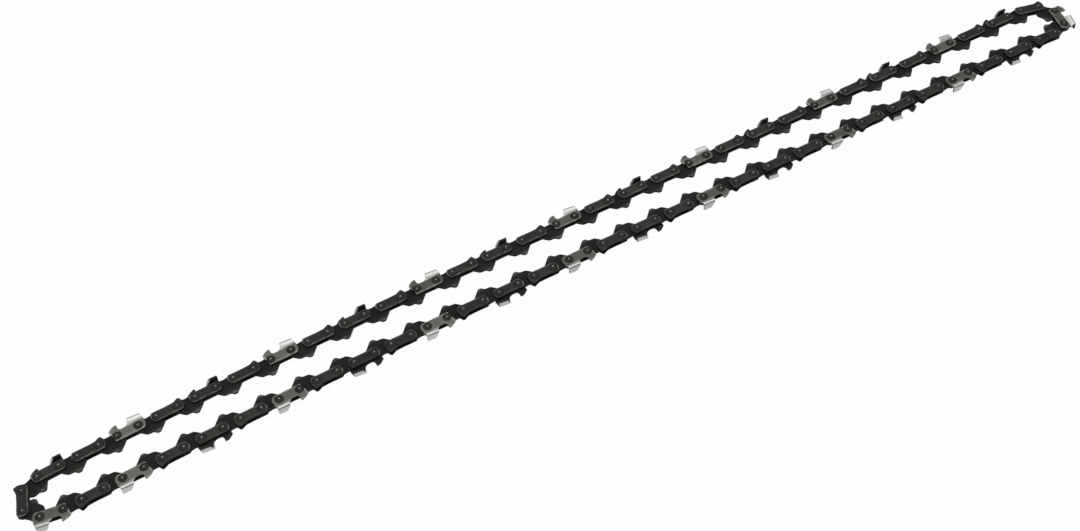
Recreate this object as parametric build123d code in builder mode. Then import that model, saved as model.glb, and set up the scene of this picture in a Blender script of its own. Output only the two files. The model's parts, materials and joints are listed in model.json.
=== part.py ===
from build123d import *
import os
from math import acos, atan2, cos, degrees, hypot, radians, sin, tan

os.makedirs("parts", exist_ok=True)

# Chain sizes in millimetres: low profile three eighths pitch, 1.27 gauge
pitch = 9.525
drive_link_count = 62
side_spacing = 10.25
drive_spacing = 2 * pitch - side_spacing
gauge = 1.27
side_thickness = 1.0

# Clearances: plates beside the drive links, rivets in the hinge holes
side_clearance = 0.08
hinge_clearance = 0.05

# Rivets: six-sided where nothing turns, round in twelve-sided holes at the hinges
rivet_radius = 1.7
rivet_proud = 0.6
fixed_rivet_sides = 6
hinge_hole_sides = 12

# Drive link: crown above the rivets, tang below them with a shelf, a hooked tip and a long trailing flank
drive_overhang = 2.9
drive_crown = 2.6
tang_depth = 7.4
tang_tip_offset = 2.5
tang_tip_width = 1.5
tang_hook_length = 1.5
tang_shelf_depth = 5.75
tang_shelf_length = 2.9
tang_root_depth = 2.7
tang_heel_depth = 3.3

# Tie strap: flat bar with a bumper at the trailing end of the paired ones
side_height = 2.65
strap_lead = 2.75
strap_trail = 3.2
strap_corner = 1.4
bumper_rise = 1.1
bumper_length = 2.9

# Cutter: ramped depth gauge, gullet, and a tooth that leans out to carry an inward top plate
cutter_lead = 2.8
cutter_trail = 3.6
cutter_rake = 1.4
cutter_shoulder = 3.6
depth_gauge_height = 6.0
depth_gauge_back = 3.5
depth_gauge_land = 2.2
gullet_floor = 2.5
gullet_radius = 2.0
tooth_front = 1.4
tooth_length = 6.1
tooth_height = 6.2
tooth_relief = 0.5
tooth_flare = 1.2
top_plate_width = 4.1
top_plate_thickness = 0.9
cutting_edge_angle = 30

# How the loop lies: two strands side by side, a bow in the left part, and a turn at each end
strand_gap = 21.9
strand_shift = 5.2
bow_angle = 2.75
bow_length = 240
left_turn_tilts = (-8, 74, 4)
right_turn_tilts = (-14, -101, -2)
run_count = 5

plate_base = gauge / 2 + side_clearance
plate_face = plate_base + side_thickness
rest_height = plate_face + max(rivet_proud, tooth_flare)
tooth_back = tooth_front + tooth_length
nose_pair = drive_link_count // 2


# Layout of the rivets, keyed by side pair and by first or second end in running order
def along(point, heading, length):
    return point[0] + length * cos(radians(heading)), point[1] + length * sin(radians(heading))


def strand_heading(travel):
    return bow_angle * max(0, 1 - travel / bow_length)


def turn_rivets(first, last, middle_heading):
    free = along(last, middle_heading + 180, side_spacing)
    reach = hypot(free[0] - first[0], free[1] - first[1])
    spread = degrees(acos(min(1, reach / (2 * drive_spacing))))
    heading = degrees(atan2(free[1] - first[1], free[0] - first[0])) + spread
    near = along(first, heading, drive_spacing)
    return near, along(near, middle_heading, side_spacing)


rivets = {(1, 1): (0, strand_gap / 2)}
travel = 0
for pair in range(2, nose_pair):
    heading = strand_heading(travel + drive_spacing / 2)
    rivets[pair, 0] = along(rivets[pair - 1, 1], heading, drive_spacing)
    travel += drive_spacing
    if pair < nose_pair - 1:
        heading = strand_heading(travel + side_spacing / 2)
        rivets[pair, 1] = along(rivets[pair, 0], heading, side_spacing)
        travel += side_spacing
for (pair, end), (x, y) in list(rivets.items()):
    rivets[drive_link_count - pair, 1 - end] = (x - strand_shift, y - strand_gap)

last_pair = drive_link_count - 1
rivets[last_pair, 1] = along(rivets[last_pair, 0], 180 + left_turn_tilts[0], side_spacing)
rivets[1, 0] = along(rivets[1, 1], 180 + left_turn_tilts[2], side_spacing)
rivets[0, 0], rivets[0, 1] = turn_rivets(rivets[last_pair, 1], rivets[1, 0], left_turn_tilts[1])
rivets[nose_pair - 1, 1] = along(rivets[nose_pair - 1, 0], right_turn_tilts[0], side_spacing)
rivets[nose_pair + 1, 0] = along(rivets[nose_pair + 1, 1], right_turn_tilts[2], side_spacing)
rivets[nose_pair, 0], rivets[nose_pair, 1] = turn_rivets(
    rivets[nose_pair - 1, 1], rivets[nose_pair + 1, 0], right_turn_tilts[1]
)


# Outlines in link coordinates: first axis in running order, second axis out of the loop
def drive_link_outline():
    half = drive_spacing / 2
    end = half + drive_overhang
    tip_front = tang_tip_offset - tang_tip_width / 2
    tip_back = tang_tip_offset + tang_tip_width / 2
    shelf_back = tip_front - tang_hook_length
    return [
        (-end, 0),
        (-half - drive_overhang / 2, drive_crown),
        (half + drive_overhang / 2, drive_crown),
        (end, 0),
        (end, -tang_heel_depth),
        (tip_back, -tang_depth),
        (tip_front, -tang_depth),
        (shelf_back, -tang_shelf_depth),
        (shelf_back - tang_shelf_length, -tang_shelf_depth),
        (-half - drive_overhang / 2, -tang_root_depth),
    ]


def plain_strap_outline():
    front = -side_spacing / 2 - strap_lead
    back = side_spacing / 2 + strap_trail
    return [
        (front, 0),
        (front + strap_corner, side_height),
        (back - strap_corner, side_height),
        (back, 0),
        (back - strap_corner, -side_height),
        (front + strap_corner, -side_height),
    ]


def bumper_strap_outline():
    front = -side_spacing / 2 - strap_lead
    back = side_spacing / 2 + strap_trail
    return [
        (front, 0),
        (front + strap_corner, side_height),
        (back - strap_corner - bumper_length, side_height),
        (back - strap_corner, side_height + bumper_rise),
        (back, side_height / 2),
        (back, -side_height / 2),
        (back - strap_corner, -side_height),
        (front + strap_corner, -side_height),
    ]


def cutter_outline():
    front = -side_spacing / 2 - cutter_lead
    back = side_spacing / 2 + cutter_trail
    gullet_centre = (gullet_radius - depth_gauge_back, gullet_floor + gullet_radius)
    gullet = [along(gullet_centre, heading, gullet_radius) for heading in (270, 225, 180)]
    return [
        (front + cutter_rake, -side_height),
        (back - strap_corner, -side_height),
        (back, 0),
        (tooth_back, gullet_floor),
        *gullet,
        (-depth_gauge_back, depth_gauge_height),
        (-depth_gauge_back - depth_gauge_land, depth_gauge_height),
        (front, cutter_shoulder),
    ]


def tooth_top():
    return [(tooth_front, tooth_height), (tooth_back, tooth_height - tooth_relief)]


# Places of the links, each midway between its two rivets
def link_place(first, second):
    heading = degrees(atan2(second[1] - first[1], second[0] - first[0]))
    return Location(((first[0] + second[0]) / 2, (first[1] + second[1]) / 2, 0), (0, 0, heading))


def drive_ends(drive):
    return (drive - 1, 1), (drive % drive_link_count, 0)


def is_cutter(pair):
    return pair % 2 == 1


def cutter_is_upper(pair):
    return pair % 4 == 3 or pair == last_pair


# Centre the loop over the origin, by the corners of every link
corners = []
for pair in range(drive_link_count):
    outline = cutter_outline() + tooth_top() if is_cutter(pair) else bumper_strap_outline()
    place = link_place(rivets[pair, 0], rivets[pair, 1])
    corners += [(place * Location((*corner, 0))).position for corner in outline]
centre_x = (max(corner.X for corner in corners) + min(corner.X for corner in corners)) / 2
centre_y = (max(corner.Y for corner in corners) + min(corner.Y for corner in corners)) / 2
rivets = {key: (x - centre_x, y - centre_y) for key, (x, y) in rivets.items()}

side_places = {pair: link_place(rivets[pair, 0], rivets[pair, 1]) for pair in range(drive_link_count)}
drive_places = {}
for drive in range(1, drive_link_count + 1):
    first, second = drive_ends(drive)
    drive_places[drive] = link_place(rivets[first], rivets[second])

# Bodies of links: both turns and the runs of each strand, cut at the hinges
run_edges = [2 + round(run * (nose_pair - 3) / run_count) for run in range(run_count + 1)]
bodies = {
    "left_end": ([last_pair, 0, 1], [drive_link_count, 1]),
    "right_end": ([nose_pair - 1, nose_pair, nose_pair + 1], [nose_pair, nose_pair + 1]),
}
hinges = [(1, 1), (last_pair, 0), (nose_pair - 1, 0), (nose_pair + 1, 1)]
for run in range(run_count):
    pairs = list(range(run_edges[run], run_edges[run + 1]))
    drives = list(pairs)
    if run == run_count - 1:
        drives.append(nose_pair - 1)
    else:
        hinges += [(pairs[-1], 1), (drive_link_count - pairs[-1], 0)]
    bodies[f"top_run_{run + 1}"] = (pairs, drives)
    bodies[f"bottom_run_{run + 1}"] = (
        [drive_link_count - pair for pair in pairs],
        [drive_link_count + 1 - drive for drive in drives],
    )


def export(group, name):
    group.part.label = name
    export_step(group.part, f"parts/{name}.step")


def build_drive_links(name, drives):
    ends = [end for drive in drives for end in drive_ends(drive)]
    holes = [rivets[end] for end in ends if end in hinges]
    with BuildPart() as drive_links:
        with BuildSketch(Plane.XY.offset(rest_height - gauge / 2)):
            with Locations(*[drive_places[drive] for drive in drives]):
                Polygon(*drive_link_outline(), align=None)
            if holes:
                with Locations(*holes):
                    RegularPolygon(
                        rivet_radius + hinge_clearance,
                        hinge_hole_sides,
                        major_radius=False,
                        mode=Mode.SUBTRACT,
                    )
        extrude(amount=gauge)
    export(drive_links, f"{name}_drive_links")


def build_tie_straps(name, pairs):
    paired = [side_places[pair] for pair in pairs if not is_cutter(pair)]
    opposite = {
        1: [side_places[pair] for pair in pairs if is_cutter(pair) and not cutter_is_upper(pair)],
        -1: [side_places[pair] for pair in pairs if is_cutter(pair) and cutter_is_upper(pair)],
    }
    with BuildPart() as tie_straps:
        for side, plain in opposite.items():
            with BuildSketch(Plane.XY.offset(rest_height + side * plate_base)):
                if paired:
                    with Locations(*paired):
                        Polygon(*bumper_strap_outline(), align=None)
                if plain:
                    with Locations(*plain):
                        Polygon(*plain_strap_outline(), align=None)
            extrude(amount=side * side_thickness)
    export(tie_straps, f"{name}_tie_straps")


def build_cutters(name, places, side):
    slope = degrees(atan2(-tooth_relief, tooth_length))
    setback = top_plate_width * tan(radians(cutting_edge_angle))
    plate_length = hypot(tooth_length, tooth_relief)
    crest = plate_face + tooth_flare
    wall_top = tooth_height - (tooth_relief + top_plate_thickness) / 2
    with BuildPart() as cutters:
        with BuildSketch(Plane.XY.offset(rest_height + side * plate_base)):
            with Locations(*places):
                Polygon(*cutter_outline(), align=None)
        extrude(amount=side * side_thickness)
        for place in places:
            with BuildSketch(Plane(place * Location((tooth_front, 0, rest_height), (0, 90, 0)))):
                Polygon(
                    (-side * plate_base, gullet_floor),
                    (-side * plate_face, gullet_floor),
                    (-side * crest, wall_top),
                    (-side * (crest - side_thickness), wall_top),
                    align=None,
                )
            extrude(amount=tooth_length)
            corner = place * Location((tooth_front, tooth_height, rest_height + side * crest), (0, 0, slope))
            with BuildSketch(Plane(corner * Location((0, 0, 0), (90, 0, 0)))):
                Polygon(
                    (0, 0),
                    (plate_length, 0),
                    (plate_length, -side * top_plate_width),
                    (setback, -side * top_plate_width),
                    align=None,
                )
            extrude(amount=top_plate_thickness)
    hand = "left" if side > 0 else "right"
    export(cutters, f"{name}_{hand}_cutters")


def build_rivets(name, pairs):
    keys = [(pair, end) for pair in pairs for end in (0, 1)]
    fixed = [rivets[key] for key in keys if key not in hinges]
    turning = [rivets[key] for key in keys if key in hinges]
    half_length = plate_face + rivet_proud
    with BuildPart() as pins:
        with BuildSketch(Plane.XY.offset(rest_height - half_length)):
            with Locations(*fixed):
                RegularPolygon(rivet_radius, fixed_rivet_sides)
            if turning:
                with Locations(*turning):
                    Circle(rivet_radius)
        extrude(amount=2 * half_length)
    export(pins, f"{name}_rivets")


# Every body gives one part for each kind of link it holds
for name, (pairs, drives) in bodies.items():
    build_drive_links(name, drives)
    build_tie_straps(name, pairs)
    for side in (1, -1):
        chosen = [pair for pair in pairs if is_cutter(pair) and cutter_is_upper(pair) == (side > 0)]
        if chosen:
            build_cutters(name, [side_places[pair] for pair in chosen], side)
    build_rivets(name, pairs)
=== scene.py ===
import json
from collections import namedtuple
from math import acos, atan2, ceil, cos, degrees, hypot, pi, radians, sin, tan
from random import Random

import bpy
from mathutils import Matrix, Vector
from mathutils.geometry import tessellate_polygon


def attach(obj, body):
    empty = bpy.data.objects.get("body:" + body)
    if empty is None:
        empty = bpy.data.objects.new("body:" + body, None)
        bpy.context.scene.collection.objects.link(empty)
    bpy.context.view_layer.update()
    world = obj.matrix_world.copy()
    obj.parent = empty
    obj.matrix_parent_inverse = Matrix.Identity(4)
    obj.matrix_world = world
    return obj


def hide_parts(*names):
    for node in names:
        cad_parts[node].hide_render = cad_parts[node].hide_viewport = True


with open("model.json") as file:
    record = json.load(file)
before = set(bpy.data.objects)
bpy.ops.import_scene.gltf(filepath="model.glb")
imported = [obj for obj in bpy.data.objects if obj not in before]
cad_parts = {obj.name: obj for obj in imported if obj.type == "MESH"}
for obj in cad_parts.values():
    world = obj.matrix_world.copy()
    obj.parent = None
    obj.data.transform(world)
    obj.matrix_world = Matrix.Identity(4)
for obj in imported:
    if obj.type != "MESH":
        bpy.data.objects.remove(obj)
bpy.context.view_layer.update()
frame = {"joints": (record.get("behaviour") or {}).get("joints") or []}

metre = 0.001
tone_seed = 62
dice = Random(tone_seed)

# Chain, in millimetres and degrees: most sizes follow the solids, and the part stays inside their box
pitch = 9.525
drive_link_count = 62
side_spacing = 10.25
drive_spacing = 2 * pitch - side_spacing
gauge = 1.27
side_thickness = 1.0
side_clearance = 0.08
hinge_clearance = 0.06

# Drive link: saddled crown above the rivets, and below them a tang with a shelf and a hooked tip
drive_overhang = 2.88
drive_crown = 2.6
saddle_depth = 0.35
saddle_share = 0.6
saddle_round = 4
saddle_end_round = 2
tang_depth = 7.4
tang_wear_and_highlight_start = 0.8 * tang_depth
tang_tip_offset = 2.5
tang_tip_width = 1.5
tang_hook_length = 1.5
tang_shelf_depth = 5.75
tang_shelf_length = 2.9
tang_shelf_fall = 0.2
tang_root_depth = 1.2
tang_heel_depth = 3.3
tang_root_round = 1.5
shelf_front_round = 2
shelf_back_round = 0.8
tip_front_round = 0.5
tip_back_round = 0.8
tang_heel_round = 1.4

# Tie strap: slightly waisted bar, with a bumper at the trailing end of the paired ones
side_height = 2.65
strap_lead = 2.73
strap_trail = 3.2
strap_corner = 1.4
strap_nose_height = 0.2 * side_height
strap_brow = 0.6 * strap_corner
strap_foot = 0.7 * strap_corner
strap_brow_round = 1
strap_round = 1.6
strap_tail_round = 2
strap_tail_top_round = 1.2
waist_depth = 0.12
waist_share = 0.8
waist_round = 8
waist_end_round = 4
bumper_rise = 1.08
bumper_length = 2.9
bumper_tail_low = -0.4 * side_height
bumper_tail_high = 0.6 * side_height
bumper_crest_back = 0.8 * strap_corner
bumper_crest_front = 1.4 * strap_corner
bumper_tail_low_round = 1.4
bumper_tail_high_round = 1
bumper_crest_back_round = 0.7
bumper_crest_front_round = 0.8

# Cutter: sloped depth gauge, gullet, and a tooth that leans out to carry an inward top plate
cutter_lead = 2.8
cutter_trail = 3.6
cutter_rake = 1.4
cutter_shoulder = 3.6
cutter_shoulder_round = 0.6
cutter_toe_round = 0.8
cutter_tail_height = -0.1 * side_height
cutter_tail_setback = 0.4
cutter_tail_drop = 0.4
cutter_tail_round = 0.8
depth_gauge_height = 5.95
depth_gauge_back = 3.5
depth_gauge_land = 2.2
depth_gauge_slope = 0.75
depth_gauge_back_round = 0.5
depth_gauge_front_round = 2
gullet_floor = 2.5
gullet_radius = 2.0
gullet_run_out = 0.1
gullet_dip = 0.03
tooth_front = 1.4
tooth_length = 6.5
tooth_heel = 0.7
tooth_root_drop = 0.2
tooth_height = 6.2
tooth_relief = 0.5
tooth_flare = 1.2
side_relief = 0.3
top_plate_width = 4.1
cutting_edge_angle = 30
bend_radius = 0.35
filed_bevel = 0.8
chrome_lead = 0.4
chrome_bend_share = 0.3

# Rivet, with its head's profile from the centre mark outward: radius, rise from the top and brightness; the
# bright centre is partly burnish and partly a painted highlight
rivet_radius = 1.64
rivet_proud = 0.6
head_radius = 2.2
centre_mark_depth = 0.13
head_profile = [
    (0.22, -0.1, 1),
    (0.36, -0.04, 1),
    (0.5, 0, 0),
    (0.9, -0.03, 0),
    (1.3, -0.11, 0),
    (1.7, -0.24, 0),
    (2.02, -0.4, 0),
    (head_radius, -0.58, 0),
    (rivet_radius, -0.62, 0),
]

# How the loop lies: two strands side by side, a bow in the left part, and a turn at each end
strand_gap = 21.9
strand_shift = 5.2
bow_angle = 2.75
bow_length = 240
left_turn_tilts = (-8, 74, 4)
right_turn_tilts = (-14, -101, -2)
run_count = 5
run_start = 2

plate_base = gauge / 2 + side_clearance
plate_face = plate_base + side_thickness
rest_height = plate_face + max(rivet_proud, tooth_flare)
strap_front = -side_spacing / 2 - strap_lead
strap_back = side_spacing / 2 + strap_trail
cutter_front = -side_spacing / 2 - cutter_lead
cutter_back = side_spacing / 2 + cutter_trail
tooth_back = tooth_front + tooth_length
nose_pair = drive_link_count // 2
last_pair = drive_link_count - 1
run_end = nose_pair - 1

# Fineness of the meshes
arc_step = radians(15)
nearly_straight = radians(178)
reach_share = 0.49
outer_chamfer = 0.26
inner_chamfer = 0.1
drive_chamfer = 0.6 * outer_chamfer
hole_chamfer = 0.1
chamfer_round = 0.29
hole_sides = 24
tooth_columns = 6
gullet_angles = (0, 20, 40, 60)
bend_rows = 6
top_rows = 3
sharp_angle = radians(21)

# Brightness of the rims, partly wear and partly painted highlight on the bevels, from 0 for none to 1 for
# full
face_border_wear_and_highlight = 0.3
drive_rim_wear_and_highlight = 0.25
strap_rim_wear_and_highlight = 0.12
strap_nose_highlight = 0.8
cutter_rim_wear_and_highlight = 0.2


# Layout of the rivets, keyed by side pair and by first or second end in running order
def along(point, heading, length):
    return point[0] + length * cos(radians(heading)), point[1] + length * sin(radians(heading))


def strand_heading(travel):
    return bow_angle * max(0, 1 - travel / bow_length)


def turn_rivets(first, last, middle_heading):
    free = along(last, middle_heading + 180, side_spacing)
    reach = hypot(free[0] - first[0], free[1] - first[1])
    spread = degrees(acos(min(1, reach / (2 * drive_spacing))))
    heading = degrees(atan2(free[1] - first[1], free[0] - first[0])) + spread
    near = along(first, heading, drive_spacing)
    return near, along(near, middle_heading, side_spacing)


def rivet_layout():
    places = {(1, 1): (0, strand_gap / 2)}
    travel = 0
    for pair in range(run_start, nose_pair):
        heading = strand_heading(travel + drive_spacing / 2)
        places[pair, 0] = along(places[pair - 1, 1], heading, drive_spacing)
        travel += drive_spacing
        if pair < run_end:
            heading = strand_heading(travel + side_spacing / 2)
            places[pair, 1] = along(places[pair, 0], heading, side_spacing)
            travel += side_spacing
    for (pair, end), (x, y) in list(places.items()):
        places[drive_link_count - pair, 1 - end] = (x - strand_shift, y - strand_gap)
    places[last_pair, 1] = along(places[last_pair, 0], 180 + left_turn_tilts[0], side_spacing)
    places[1, 0] = along(places[1, 1], 180 + left_turn_tilts[2], side_spacing)
    places[0, 0], places[0, 1] = turn_rivets(places[last_pair, 1], places[1, 0], left_turn_tilts[1])
    places[nose_pair - 1, 1] = along(places[nose_pair - 1, 0], right_turn_tilts[0], side_spacing)
    places[nose_pair + 1, 0] = along(places[nose_pair + 1, 1], right_turn_tilts[2], side_spacing)
    places[nose_pair, 0], places[nose_pair, 1] = turn_rivets(
        places[nose_pair - 1, 1], places[nose_pair + 1, 0], right_turn_tilts[1]
    )
    return places


def link_place(first, second):
    heading = atan2(second[1] - first[1], second[0] - first[0])
    middle = Vector(((first[0] + second[0]) / 2, (first[1] + second[1]) / 2, rest_height))
    return Matrix.Translation(middle) @ Matrix.Rotation(heading, 4, "Z")


def drive_ends(drive):
    return (drive - 1, 1), (drive % drive_link_count, 0)


# Every second side pair has a cutter, by turns on the under and the upper side; the last one is upper too
def is_cutter(pair):
    return pair % 2 == 1


def cutter_is_upper(pair):
    return pair % 4 == 3 or pair == last_pair


def body_links():
    edges = [run_start + round(run * (run_end - run_start) / run_count) for run in range(run_count + 1)]
    bodies = {
        "left_end": ([last_pair, 0, 1], [drive_link_count, 1]),
        "right_end": ([nose_pair - 1, nose_pair, nose_pair + 1], [nose_pair, nose_pair + 1]),
    }
    for run in range(run_count):
        pairs = list(range(edges[run], edges[run + 1]))
        drives = pairs + ([run_end] if run == run_count - 1 else [])
        bodies[f"top_run_{run + 1}"] = (pairs, drives)
        bodies[f"bottom_run_{run + 1}"] = (
            [drive_link_count - pair for pair in pairs],
            [drive_link_count + 1 - drive for drive in drives],
        )
    return bodies


# Outlines: corners with a radius each, counter-clockwise
def rounded(corners):
    outline = []
    count = len(corners)
    for index, (x, y, radius) in enumerate(corners):
        corner = Vector((x, y))
        to_before = Vector(corners[index - 1][:2]) - corner
        to_after = Vector(corners[(index + 1) % count][:2]) - corner
        opening = to_before.angle(to_after)
        if radius == 0 or opening > nearly_straight:
            outline.append(corner)
            continue
        longest_reach = reach_share * min(to_before.length, to_after.length)
        reach = min(radius / tan(opening / 2), longest_reach)
        radius = reach * tan(opening / 2)
        inward = (to_before.normalized() + to_after.normalized()).normalized()
        centre = corner + inward * radius / sin(opening / 2)
        start = corner + to_before.normalized() * reach - centre
        sweep = pi - opening
        if to_before.cross(to_after) > 0:
            sweep = -sweep
        steps = max(2, ceil(abs(sweep) / arc_step))
        for step in range(steps + 1):
            outline.append(centre + Matrix.Rotation(sweep * step / steps, 2) @ start)
    return outline


def inset(outline, amount):
    moved = []
    count = len(outline)
    for index, point in enumerate(outline):
        before = (point - outline[index - 1]).normalized()
        after = (outline[(index + 1) % count] - point).normalized()
        inward = Vector((-before.y - after.y, before.x + after.x))
        moved.append(point + inward * (2 * amount / max(1, inward.length_squared)))
    return moved


def circle(centre, radius):
    angles = [2 * pi * side / hole_sides for side in range(hole_sides)]
    return [Vector((centre + radius * cos(angle), radius * sin(angle))) for angle in angles]


class Shape:
    """Points in millimetres with their edge brightness, which is partly wear and partly painted highlight,
    faces with their layer, and the rings of a plate's rim.
    """

    def __init__(self):
        self.points = []
        self.wear_and_highlight = []
        self.faces = []
        self.layers = []
        self.rim = []

    def ring(self, outline, z, wear_and_highlight=0):
        first = len(self.points)
        self.points += [Vector((point.x, point.y, z)) for point in outline]
        self.wear_and_highlight += [wear_and_highlight] * len(outline)
        return list(range(first, len(self.points)))

    def face(self, corners, layer):
        self.faces.append(tuple(corners))
        self.layers.append(layer)

    def strip(self, lower, upper, layer):
        count = len(lower)
        for index in range(count):
            after = (index + 1) % count
            self.face((lower[index], lower[after], upper[after], upper[index]), layer)

    def cap(self, loops, layer, upward):
        flat = [[Vector((self.points[index].x, self.points[index].y, 0)) for index in loop] for loop in loops]
        indices = [index for loop in loops for index in loop]
        for triangle in tessellate_polygon(flat):
            a, b, c = (indices[corner] for corner in triangle)
            turn = (self.points[b] - self.points[a]).xy.cross((self.points[c] - self.points[a]).xy)
            self.face((a, b, c) if (turn > 0) == upward else (a, c, b), layer)

    def lift(self, height):
        for point in self.points:
            point.z += height


# Layers of a plate: its inner face, inner rim, wall, outer rim, outer face and bores
inner_cap, inner_edge, wall, outer_edge, outer_cap, bore = range(6)
rim_layers = (inner_edge, inner_edge, wall, outer_edge, outer_edge)


# A plate with chamfered rims and bored holes; a function of the point gives how bright the rim is there,
# partly from wear and partly as a painted highlight on the bevels
def plate(outline, depth, rims, hole_centres, hole_radius, wear_and_highlight_at, tooth=None):
    shape = Shape()
    low, high = rims
    profile = [
        (low, 0, 0),
        (chamfer_round * low, chamfer_round * low, 1),
        (0, low, 0),
        (0, depth - high, 0),
        (chamfer_round * high, depth - chamfer_round * high, 1),
        (high, depth, face_border_wear_and_highlight),
    ]
    for amount, z, wear_and_highlight_share in profile:
        ring = shape.ring(inset(outline, amount), z)
        for index in ring:
            shape.wear_and_highlight[index] = wear_and_highlight_share * wear_and_highlight_at(shape.points[index])
        shape.rim.append(ring)
    for lower, upper, layer in zip(shape.rim, shape.rim[1:], rim_layers):
        shape.strip(lower, upper, layer)
    lower_holes = []
    upper_holes = []
    for centre in hole_centres:
        bore_rings = [
            shape.ring(circle(centre, hole_radius + hole_chamfer), 0),
            shape.ring(circle(centre, hole_radius), hole_chamfer),
            shape.ring(circle(centre, hole_radius), depth - hole_chamfer),
            shape.ring(circle(centre, hole_radius + hole_chamfer), depth),
        ]
        for lower, upper in zip(bore_rings, bore_rings[1:]):
            shape.strip(upper, lower, bore)
        lower_holes.append(bore_rings[0])
        upper_holes.append(bore_rings[-1])
    for border, holes, layer, upward in (
        (shape.rim[0], lower_holes, inner_cap, False),
        (shape.rim[-1], upper_holes, outer_cap, True),
    ):
        if tooth:
            border = tooth_grid(shape, border, tooth, layer, upward)
        shape.cap([border] + holes, layer, upward)
    return shape


# The tooth part of a cutter's blank is a grid of rows, so that it can be folded
def tooth_grid(shape, ring, tooth, layer, upward):
    rear, front = tooth
    rows = []
    for row in range(len(rear) - 1):
        start = shape.points[ring[rear[row]]]
        end = shape.points[ring[front[row]]]
        between = [start.lerp(end, column / tooth_columns) for column in range(1, tooth_columns)]
        rows.append([ring[rear[row]]] + shape.ring(between, start.z) + [ring[front[row]]])
    rows.append([ring[index] for index in range(rear[-1], front[-1] + 1)])
    for lower, upper in zip(rows, rows[1:]):
        for column in range(tooth_columns):
            corners = (lower[column], upper[column], upper[column + 1], lower[column + 1])
            shape.face(corners[::-1] if upward else corners, layer)
    return ring[front[0]:] + ring[: rear[0]] + rows[0][:-1]


# Drive links and tie straps have their finish on the faces seen from the side, and on the rest a darker,
# duller copy of it as painted shade
face_finish, wall_shade = range(2)


def face_finish_and_wall_shade(shape, face_layers):
    shape.layers = [face_finish if layer in face_layers else wall_shade for layer in shape.layers]
    return shape


def drive_link_shape():
    half = drive_spacing / 2
    end = half + drive_overhang
    tip_front = tang_tip_offset - tang_tip_width / 2
    tip_back = tang_tip_offset + tang_tip_width / 2
    shelf_back = tip_front - tang_hook_length
    outline = rounded([
        (-end, drive_crown, drive_crown),
        (-end, -tang_root_depth, tang_root_round),
        (shelf_back - tang_shelf_length, -tang_shelf_depth, shelf_front_round),
        (shelf_back, -tang_shelf_depth - tang_shelf_fall, shelf_back_round),
        (tip_front, -tang_depth, tip_front_round),
        (tip_back, -tang_depth, tip_back_round),
        (end, -tang_heel_depth, tang_heel_round),
        (end, drive_crown, drive_crown),
        (saddle_share * half, drive_crown, saddle_end_round),
        (0, drive_crown - saddle_depth, saddle_round),
        (-saddle_share * half, drive_crown, saddle_end_round),
    ])

    def wear_and_highlight_at(point):
        # The tang tips are fully bright: wear and a painted highlight.
        return 1 if point.y < -tang_wear_and_highlight_start else drive_rim_wear_and_highlight

    rims = (drive_chamfer, drive_chamfer)
    shape = plate(outline, gauge, rims, (-half, half), rivet_radius + hinge_clearance, wear_and_highlight_at)
    shape.lift(-gauge / 2)
    return face_finish_and_wall_shade(shape, (inner_cap, inner_edge, outer_edge, outer_cap))


def strap_shape(bumper):
    half = side_spacing / 2
    lower = [
        (strap_front + strap_brow, side_height, strap_brow_round),
        (strap_front, strap_nose_height, strap_round),
        (strap_front + strap_foot, -side_height, strap_round),
        (-waist_share * half, -side_height, waist_end_round),
        (0, waist_depth - side_height, waist_round),
        (waist_share * half, -side_height, waist_end_round),
        (strap_back - strap_foot, -side_height, strap_round),
    ]
    plain = [
        (strap_back, 0, strap_tail_round),
        (strap_back - strap_foot, side_height, strap_tail_top_round),
        (waist_share * half, side_height, waist_end_round),
    ]
    raised = [
        (strap_back, bumper_tail_low, bumper_tail_low_round),
        (strap_back, bumper_tail_high, bumper_tail_high_round),
        (strap_back - bumper_crest_back, side_height + bumper_rise, bumper_crest_back_round),
        (strap_back - bumper_crest_front, side_height + bumper_rise, bumper_crest_front_round),
        (strap_back - strap_corner - bumper_length, side_height, strap_round),
    ]
    upper = [
        (0, side_height - waist_depth, waist_round),
        (-waist_share * half, side_height, waist_end_round),
    ]
    outline = rounded(lower + (raised if bumper else plain) + upper)

    def wear_and_highlight_at(point):
        # The noses carry a painted highlight.
        return strap_nose_highlight if point.x < strap_front + strap_foot else strap_rim_wear_and_highlight

    rims = (inner_chamfer, outer_chamfer)
    shape = plate(outline, side_thickness, rims, (-half, half), rivet_radius, wear_and_highlight_at)
    shape.lift(plate_base)
    return face_finish_and_wall_shade(shape, (outer_edge, outer_cap))


# Cutter: a flat blank with the tooth standing up, folded over to make the top plate
bend_start = tooth_height - side_thickness - bend_radius
bend_length = (bend_radius + side_thickness / 2) * pi / 2
bend_end = bend_start + bend_length
blank_top = bend_end + top_plate_width - side_thickness - bend_radius


def within_unit(share):
    return min(1, max(0, share))


def smooth(share):
    share = within_unit(share)
    return share * share * (3 - 2 * share)


def tooth_front_at(height):
    climb = height - gullet_floor
    if climb < gullet_radius:
        return tooth_front - gullet_radius + (gullet_radius ** 2 - (gullet_radius - climb) ** 2) ** 0.5
    share = max(0, (height - bend_start) / (blank_top - bend_start))
    return tooth_front + share * top_plate_width * tan(radians(cutting_edge_angle))


def tooth_back_at(height):
    return tooth_back + tooth_heel * max(0, 1 - (height - gullet_floor) / (bend_start - gullet_floor))


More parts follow.
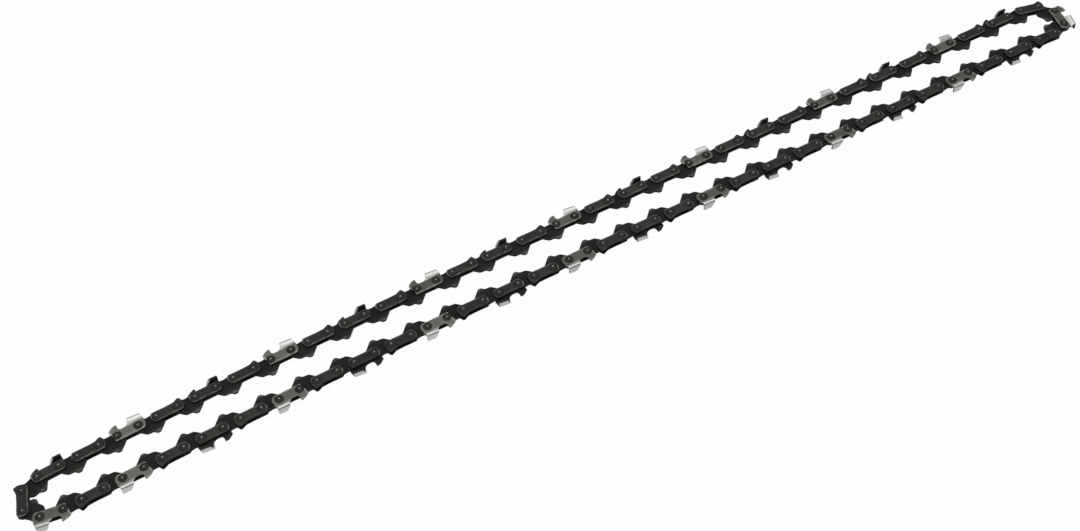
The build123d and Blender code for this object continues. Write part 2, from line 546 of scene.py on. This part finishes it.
def fold(point):
    x, height, z = point
    share = within_unit((x - tooth_front) / tooth_length)
    rise = within_unit((height - gullet_floor) / (bend_start - gullet_floor))
    in_tooth = smooth((x - tooth_front + gullet_radius) / gullet_radius)
    drop = rise * share * tooth_relief
    flare = in_tooth * sin(rise * pi / 2) * (tooth_flare - share * side_relief)
    if height <= bend_start:
        return Vector((x, height - drop, z + flare))
    angle = min(pi / 2, (height - bend_start) / (bend_length / (pi / 2)))
    beyond = max(0, height - bend_start - bend_length)
    radius = bend_radius + z
    return Vector((
        x,
        bend_start + radius * sin(angle) - drop,
        radius * cos(angle) - bend_radius - beyond + flare,
    ))


def tooth_heights():
    climbs = [gullet_radius * (1 - cos(radians(angle))) for angle in gullet_angles]
    heights = [gullet_floor + climb for climb in climbs]
    heights += [bend_start + bend_length * row / bend_rows for row in range(bend_rows)]
    heights += [bend_end + (blank_top - bend_end) * row / top_rows for row in range(top_rows + 1)]
    return heights


def cutter_shape():
    half = side_spacing / 2
    ramp_foot = (cutter_front, cutter_shoulder)
    ramp_top = (-depth_gauge_back - depth_gauge_land, depth_gauge_height - depth_gauge_slope)
    lower = rounded([
        (*ramp_top, 0),
        (*ramp_foot, cutter_shoulder_round),
        (cutter_front + cutter_rake, -side_height, cutter_toe_round),
        (cutter_back - strap_foot, -side_height, strap_round),
        (cutter_back, cutter_tail_height, strap_round),
        (cutter_back - cutter_tail_setback, gullet_floor - cutter_tail_drop, cutter_tail_round),
        (tooth_back_at(gullet_floor), gullet_floor - tooth_root_drop, 0),
    ])[1:]
    upper = rounded([
        (tooth_front_at(gullet_floor) - gullet_run_out, gullet_floor - gullet_dip, 0),
        (-depth_gauge_back, gullet_floor, gullet_radius),
        (-depth_gauge_back, depth_gauge_height, depth_gauge_back_round),
        (*ramp_top, depth_gauge_front_round),
        (*ramp_foot, 0),
    ])[:-1]
    heights = tooth_heights()
    rear_edge = [Vector((tooth_back_at(height), height)) for height in heights]
    front_edge = [Vector((tooth_front_at(height), height)) for height in reversed(heights)]
    tip = [rear_edge[-1].lerp(front_edge[0], column / tooth_columns) for column in range(1, tooth_columns)]
    outline = lower + rear_edge + tip + front_edge + upper
    rear_first = len(lower)
    front_first = rear_first + len(heights) + len(tip)
    rear_rows = list(range(rear_first, rear_first + len(heights)))
    front_rows = list(range(front_first, front_first + len(heights)))[::-1]

    def wear_and_highlight_at(point):
        # The leading edge below the shoulder is fully bright: a painted highlight.
        return 1 if point.x < cutter_front + cutter_rake and point.y < side_height else cutter_rim_wear_and_highlight

    rims = (inner_chamfer, outer_chamfer)
    tooth = (rear_rows, front_rows)
    shape = plate(outline, side_thickness, rims, (-half, half), rivet_radius, wear_and_highlight_at, tooth)
    file_cutting_edge(shape, front_rows)
    flat = list(shape.points)
    shape.points = [fold(point) for point in flat]
    shape.layers = [cutter_material(face, layer, flat) for face, layer in zip(shape.faces, shape.layers)]
    shape.lift(plate_base)
    return shape


# The file leaves the edge sharp at the outer face by taking the inner face back
def file_cutting_edge(shape, front_rows):
    for ring in shape.rim:
        for row in front_rows:
            point = shape.points[ring[row]]
            climb = smooth((point.y - gullet_floor) / gullet_radius)
            point.x += filed_bevel * climb * (1 - point.z / side_thickness)


# A cutter has four materials: its body, the chromed side of its tooth, the top plate in a darker copy of that
# chrome as painted shade, and the dark rest, which is dark oxide on the inner faces and bores and painted
# shade on the walls and the top plate's end
body_finish, chrome_finish, top_plate_shade, dark_oxide_and_shade = range(4)


def cutter_material(face, layer, flat):
    centre = sum((flat[index] for index in face), Vector()) / len(face)
    if layer in (inner_cap, inner_edge, bore):
        return dark_oxide_and_shade
    if centre.y < gullet_floor or centre.x < tooth_front - chrome_lead:
        return dark_oxide_and_shade if layer == wall else body_finish
    if centre.y > blank_top - outer_chamfer:
        return dark_oxide_and_shade
    if layer == wall and centre.x > tooth_back - outer_chamfer:
        return dark_oxide_and_shade
    return chrome_finish if centre.y < bend_start + chrome_bend_share * bend_length else top_plate_shade


# Rivet: a pin with a spun head at each end, turned from one profile
def rivet_shape():
    shape = Shape()
    top = plate_face + rivet_proud
    upper = [(radius, top + rise, wear_and_highlight) for radius, rise, wear_and_highlight in head_profile]
    lower = [(radius, -z, wear_and_highlight) for radius, z, wear_and_highlight in upper]
    rings = [shape.ring(circle(0, radius), z, wear_and_highlight) for radius, z, wear_and_highlight in lower + upper[::-1]]
    for below, above in zip(rings, rings[1:]):
        shape.strip(below, above, 0)
    for ring, side in ((rings[0], -1), (rings[-1], 1)):
        # The centre points are fully bright: partly burnish, partly a painted highlight.
        middle = shape.ring([Vector((0, 0))], side * (top - centre_mark_depth), 1)[0]
        for index in range(hole_sides):
            edge = (ring[index], ring[(index + 1) % hole_sides])
            shape.face((middle,) + edge[::side], 0)
    return shape


# Steel: noise per metre, the stretch of it that each effect uses, and the least that the noise leaves of it
blotch_noise = {"Scale": 380, "Detail": 5, "Roughness": 0.65}
grain_noise = {"Scale": 1500, "Detail": 3}
blotch_weight = 2.5
patch_stretch = (0.9, 2.6)
wear_and_highlight_stretch = (0.3, 0.6)
least_wear_and_highlight = 0.3
band_stretch = (0.35, 0.6)
least_band = 0.2
gloss_stretch = (0.3, 0.7)
bump_distance = 0.0001

# Sockets of a colour mix go by number, because their names repeat
factor_socket = 0
low_socket = 6
high_socket = 7
result_socket = 2


# Materials: steel with blotches, fine grain and brighter edges and bands, partly wear and partly painted
# highlight
def make(tree, kind, inputs=None, **settings):
    made = tree.nodes.new("ShaderNode" + kind)
    for name, value in settings.items():
        setattr(made, name, value)
    for name, value in (inputs or {}).items():
        if isinstance(value, bpy.types.NodeSocket):
            tree.links.new(value, made.inputs[name])
        else:
            made.inputs[name].default_value = value
    return made


def calculate(tree, operation, *values):
    return make(tree, "Math", dict(enumerate(values)), operation=operation).outputs[0]


def mix_colour(tree, factor, low, high):
    inputs = {factor_socket: factor, low_socket: low, high_socket: high}
    return make(tree, "Mix", inputs, data_type="RGBA").outputs[result_socket]


def spread(tree, value, stretch, result):
    inputs = {
        "Value": value,
        "From Min": stretch[0],
        "From Max": stretch[1],
        "To Min": result[0],
        "To Max": result[1],
    }
    return make(tree, "MapRange", inputs).outputs["Result"]


def attribute(tree, name):
    return make(tree, "Attribute", attribute_name=name).outputs["Fac"]


# A bright band fades in a direction in the link's plane, from where it is full to where it is gone
Band = namedtuple("Band", "direction full gone strength")


def steel(name, dark, light, edge, wear_and_highlight, roughness, metallic, specular, bump, bands=()):
    material = bpy.data.materials.new(name)
    material.use_nodes = True
    tree = material.node_tree
    shader = tree.nodes["Principled BSDF"]
    place = make(tree, "TexCoord").outputs["Object"]
    blotch = make(tree, "TexNoise", {"Vector": place, **blotch_noise}).outputs["Fac"]
    grain = make(tree, "TexNoise", {"Vector": place, **grain_noise}).outputs["Fac"]
    patch = calculate(tree, "MULTIPLY_ADD", blotch, blotch_weight, attribute(tree, "tone"))
    body = mix_colour(tree, spread(tree, patch, patch_stretch, (0, 1)), (*dark, 1), (*light, 1))
    grainy = spread(tree, grain, wear_and_highlight_stretch, (least_wear_and_highlight * wear_and_highlight, wear_and_highlight))
    wear_and_highlight_share = calculate(tree, "MULTIPLY", attribute(tree, "wear_and_highlight"), grainy)
    for band in bands:
        along_share, across_share = band.direction
        sideways = calculate(tree, "MULTIPLY", attribute(tree, "across_link"), across_share)
        reach = calculate(tree, "MULTIPLY_ADD", attribute(tree, "along_link"), along_share, sideways)
        fade = spread(tree, reach, (band.full, band.gone), (band.strength, 0))
        patchy = calculate(tree, "MULTIPLY", fade, spread(tree, blotch, band_stretch, (least_band, 1)))
        wear_and_highlight_share = calculate(tree, "MAXIMUM", wear_and_highlight_share, patchy)
    colour = mix_colour(tree, wear_and_highlight_share, body, (*edge, 1))
    grain_bumps = {"Height": grain, "Strength": bump, "Distance": bump_distance}
    relief = make(tree, "Bump", grain_bumps).outputs["Normal"]
    tree.links.new(colour, shader.inputs["Base Color"])
    tree.links.new(spread(tree, blotch, gloss_stretch, roughness), shader.inputs["Roughness"])
    tree.links.new(relief, shader.inputs["Normal"])
    shader.inputs["Metallic"].default_value = metallic
    shader.inputs["Specular IOR Level"].default_value = specular
    return material


# Bright bands: painted highlight on the noses, the cutter edges and the lower border of every side plate,
# painted highlight with wear on the tang tips, and rubbed gauge tops
tang_band_past_shelf = 0.6
nose_highlight_width = 1.2
foot_highlight_width = 1
cutter_highlight_width = 0.9
rake_slope = cutter_rake / (cutter_shoulder + side_height)
cutter_edge = rake_slope * cutter_shoulder + cutter_front
tang_wear_and_highlight_band = Band((0, 1), -tang_depth, tang_band_past_shelf - tang_shelf_depth, strength=0.8)
nose_highlight_band = Band((1, 0), strap_front, strap_front + nose_highlight_width, strength=1)
foot_highlight_band = Band((0, 1), -side_height, foot_highlight_width - side_height, strength=0.45)
cutter_edge_highlight_band = Band((1, rake_slope), cutter_edge, cutter_edge + cutter_highlight_width, strength=0.9)
gauge_top_band = Band((0, -1), -depth_gauge_height, -cutter_shoulder, strength=0.45)

# A darker, duller copy of the oxide for walls, bores and hidden faces: painted shade.
shaded_black_wall = {
    "dark": (0.005, 0.005, 0.004),
    "light": (0.012, 0.012, 0.01),
    "edge": (0.1, 0.1, 0.09),
    "wear_and_highlight": 0.2,
    "roughness": (0.6, 0.8),
    "metallic": 0,
    "specular": 0.12,
    "bump": 0.3,
}
drive_link_oxide = steel(
    "drive_link_oxide",
    dark=(0.004, 0.004, 0.0032),
    light=(0.014, 0.014, 0.0115),
    edge=(0.22, 0.21, 0.19),
    wear_and_highlight=0.5,
    roughness=(0.4, 0.6),
    metallic=0.1,
    specular=0.18,
    bump=0.3,
    bands=[tang_wear_and_highlight_band],
)
tie_strap_oxide = steel(
    "tie_strap_oxide",
    dark=(0.008, 0.008, 0.0065),
    light=(0.036, 0.036, 0.03),
    edge=(0.45, 0.44, 0.4),
    wear_and_highlight=0.6,
    roughness=(0.34, 0.52),
    metallic=0.15,
    specular=0.33,
    bump=0.3,
    bands=[nose_highlight_band, foot_highlight_band],
)
cutter_steel = steel(
    "cutter_steel",
    dark=(0.06, 0.06, 0.05),
    light=(0.19, 0.187, 0.162),
    edge=(0.7, 0.69, 0.65),
    wear_and_highlight=0.8,
    roughness=(0.33, 0.48),
    metallic=0.6,
    specular=0.5,
    bump=0.25,
    bands=[cutter_edge_highlight_band, foot_highlight_band, gauge_top_band],
)
cutter_chrome = steel(
    "cutter_chrome",
    dark=(0.64, 0.64, 0.62),
    light=(0.76, 0.76, 0.74),
    edge=(0.8, 0.8, 0.78),
    wear_and_highlight=0.5,
    roughness=(0.25, 0.38),
    metallic=1,
    specular=0.5,
    bump=0.1,
)
# A darker copy of the tooth's chrome for the top plate: painted shade for its darker reflection.
cutter_top_plate_shaded = steel(
    "cutter_top_plate_shaded",
    dark=(0.42, 0.42, 0.41),
    light=(0.56, 0.56, 0.55),
    edge=(0.68, 0.68, 0.66),
    wear_and_highlight=0.5,
    roughness=(0.3, 0.45),
    metallic=1,
    specular=0.5,
    bump=0.12,
)
# Dark oxide for the inner faces and bores, and painted shade on the walls and the top plate's end.
cutter_inside_and_wall_shade = steel(
    "cutter_inside_and_wall_shade",
    dark=(0.016, 0.016, 0.014),
    light=(0.045, 0.045, 0.039),
    edge=(0.14, 0.14, 0.13),
    wear_and_highlight=0.3,
    roughness=(0.5, 0.7),
    metallic=0,
    specular=0.2,
    bump=0.25,
)
rivet_steel = steel(
    "rivet_steel",
    dark=(0.009, 0.009, 0.0075),
    light=(0.022, 0.021, 0.018),
    edge=(0.42, 0.41, 0.38),
    wear_and_highlight=1,
    roughness=(0.4, 0.55),
    metallic=0.1,
    specular=0.35,
    bump=0.1,
)

# Materials of each slot, in the order of the numbers that the shapes give their faces; the wall copies, the
# darker top plate and the dark cutter rest carry painted shade
slot_materials = {
    "drive_link": [drive_link_oxide, steel("drive_link_wall_shade", **shaded_black_wall)],
    "tie_strap": [tie_strap_oxide, steel("tie_strap_wall_shade", **shaded_black_wall)],
    "cutter": [cutter_steel, cutter_chrome, cutter_top_plate_shaded, cutter_inside_and_wall_shade],
    "rivet": [rivet_steel],
}


# One piece stands for each node: copies of its links, put where the layout says, on the upper or under side
def build_piece(body, kind, slot, copies):
    node = f"{body}_{kind}"
    points = []
    faces = []
    layers = []
    values = {"wear_and_highlight": [], "tone": [], "along_link": [], "across_link": []}
    for shape, place, side in copies:
        first = len(points)
        points += [place @ Vector((point.x, point.y, side * point.z)) * metre for point in shape.points]
        faces += [[first + index for index in face[::side]] for face in shape.faces]
        layers += shape.layers
        values["wear_and_highlight"] += shape.wear_and_highlight
        values["tone"] += [dice.random()] * len(shape.points)
        values["along_link"] += [point.x for point in shape.points]
        values["across_link"] += [point.y for point in shape.points]
    mesh = bpy.data.meshes.new(f"{node}_dressed")
    mesh.from_pydata(points, [], faces)
    for material in slot_materials[slot]:
        mesh.materials.append(material)
    mesh.polygons.foreach_set("material_index", layers)
    for name, numbers in values.items():
        mesh.attributes.new(name, "FLOAT", "POINT").data.foreach_set("value", numbers)
    mesh.polygons.foreach_set("use_smooth", [True] * len(faces))
    mesh.set_sharp_from_angle(angle=sharp_angle)
    mesh.update()
    piece = bpy.data.objects.new(f"{node}_dressed", mesh)
    bpy.context.scene.collection.objects.link(piece)
    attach(piece, body)
    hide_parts(node)


drive_link = drive_link_shape()
bumper_strap = strap_shape(True)
plain_strap = strap_shape(False)
cutter = cutter_shape()
rivet = rivet_shape()

# The layout starts at the first hinge, whose place the frame gives
layout = rivet_layout()
first_hinge = next(joint for joint in frame["joints"] if joint["name"] == "top_hinge_1")
shift_x = first_hinge["pos_m"][0] / metre - layout[1, 1][0]
shift_y = first_hinge["pos_m"][1] / metre - layout[1, 1][1]
rivets = {key: (x + shift_x, y + shift_y) for key, (x, y) in layout.items()}


# The links of one body, gathered by node: drive links, tie straps, cutters of either hand and rivets
def dress_body(body, pairs, drives):
    drive_copies = []
    for drive in drives:
        first, second = drive_ends(drive)
        drive_copies.append((drive_link, link_place(rivets[first], rivets[second]), 1))
    strap_copies = []
    cutter_copies = {1: [], -1: []}
    for pair in pairs:
        place = link_place(rivets[pair, 0], rivets[pair, 1])
        for side in (1, -1):
            if not is_cutter(pair):
                strap_copies.append((bumper_strap, place, side))
            elif cutter_is_upper(pair) == (side > 0):
                cutter_copies[side].append((cutter, place, side))
            else:
                strap_copies.append((plain_strap, place, side))
    rivet_copies = []
    for pair in pairs:
        for end in (0, 1):
            spot = Vector((*rivets[pair, end], rest_height))
            rivet_copies.append((rivet, Matrix.Translation(spot), 1))
    build_piece(body, "drive_links", "drive_link", drive_copies)
    build_piece(body, "tie_straps", "tie_strap", strap_copies)
    for kind, side in (("left_cutters", 1), ("right_cutters", -1)):
        if cutter_copies[side]:
            build_piece(body, kind, "cutter", cutter_copies[side])
    build_piece(body, "rivets", "rivet", rivet_copies)


for body, (pairs, drives) in body_links().items():
    dress_body(body, pairs, drives)

# Stage, in metres and watts: a white floor that keeps a faint shadow, and soft light
floor_half = 4
floor_grey = (0.85, 0.85, 0.85, 1)
floor_glow = (1, 1, 1, 1)
floor_glow_share = 0.97
studio_grey = (0.4, 0.4, 0.4, 1)


def build_floor():
    material = bpy.data.materials.new("floor_white")
    material.use_nodes = True
    tree = material.node_tree
    tree.nodes.clear()
    ray = make(tree, "LightPath").outputs
    seen = ray["Is Camera Ray"]
    for other in ("Is Glossy Ray", "Is Transmission Ray"):
        seen = calculate(tree, "MAXIMUM", seen, ray[other])
    share = calculate(tree, "MULTIPLY", seen, floor_glow_share)
    matt = make(tree, "BsdfDiffuse", {"Color": floor_grey}).outputs[0]
    glow = make(tree, "Emission", {"Color": floor_glow, "Strength": 1}).outputs[0]
    mixed = make(tree, "MixShader", {0: share, 1: matt, 2: glow}).outputs[0]
    tree.links.new(mixed, make(tree, "OutputMaterial").inputs["Surface"])
    corners = [(floor_half * x, floor_half * y, 0) for x, y in ((-1, -1), (1, -1), (1, 1), (-1, 1))]
    mesh = bpy.data.meshes.new("floor")
    mesh.from_pydata(corners, [], [(0, 1, 2, 3)])
    mesh.materials.append(material)
    floor = bpy.data.objects.new("floor", mesh)
    bpy.context.scene.collection.objects.link(floor)


def softbox(name, spot, aim, size, power):
    lamp = bpy.data.lights.new(name, "AREA")
    lamp.shape = "RECTANGLE"
    lamp.size, lamp.size_y = size
    lamp.energy = power
    holder = bpy.data.objects.new(name, lamp)
    holder.location = spot
    holder.rotation_mode = "QUATERNION"
    holder.rotation_quaternion = (Vector(aim) - Vector(spot)).to_track_quat("-Z", "Y")
    bpy.context.scene.collection.objects.link(holder)


build_floor()
softbox("top_light", spot=(0, -0.05, 1.1), aim=(0, 0, 0), size=(1.6, 0.7), power=3.4)
softbox("left_light", spot=(-0.25, 0.5, 0.75), aim=(-0.25, 0, 0), size=(0.5, 0.4), power=0.6)
softbox("right_light", spot=(0.4, 0.5, 0.75), aim=(0.3, 0, 0), size=(0.4, 0.4), power=0.55)

world = bpy.data.worlds.new("studio")
world.use_nodes = True
world.node_tree.nodes["Background"].inputs["Color"].default_value = studio_grey
bpy.context.scene.world = world
bpy.context.scene.view_settings.view_transform = "Standard"

# Camera fitted to the rivets of the photograph, in millimetres, placed from the first hinge
camera_from_hinge = (42.46, -413.842)
camera_height = 601.0
camera_forward = Vector((0.26165, 0.53908, -0.80058))
camera_right = Vector((0.8744, -0.48357, -0.03984))
camera_focal_length = 51.818
camera_sensor_width = 36
camera_clip_start = 10


def build_camera():
    hinge_x, hinge_y = rivets[1, 1]
    spot_x = hinge_x + camera_from_hinge[0]
    spot_y = hinge_y + camera_from_hinge[1]
    right = camera_right.normalized()
    up = right.cross(camera_forward).normalized()
    back = right.cross(up)
    lens = bpy.data.cameras.new("camera")
    lens.lens = camera_focal_length
    lens.sensor_width = camera_sensor_width
    lens.clip_start = camera_clip_start * metre
    camera = bpy.data.objects.new("camera", lens)
    camera.matrix_world = Matrix((
        (right.x, up.x, back.x, spot_x * metre),
        (right.y, up.y, back.y, spot_y * metre),
        (right.z, up.z, back.z, camera_height * metre),
        (0, 0, 0, 1),
    ))
    bpy.context.scene.collection.objects.link(camera)
    bpy.context.scene.camera = camera


build_camera()
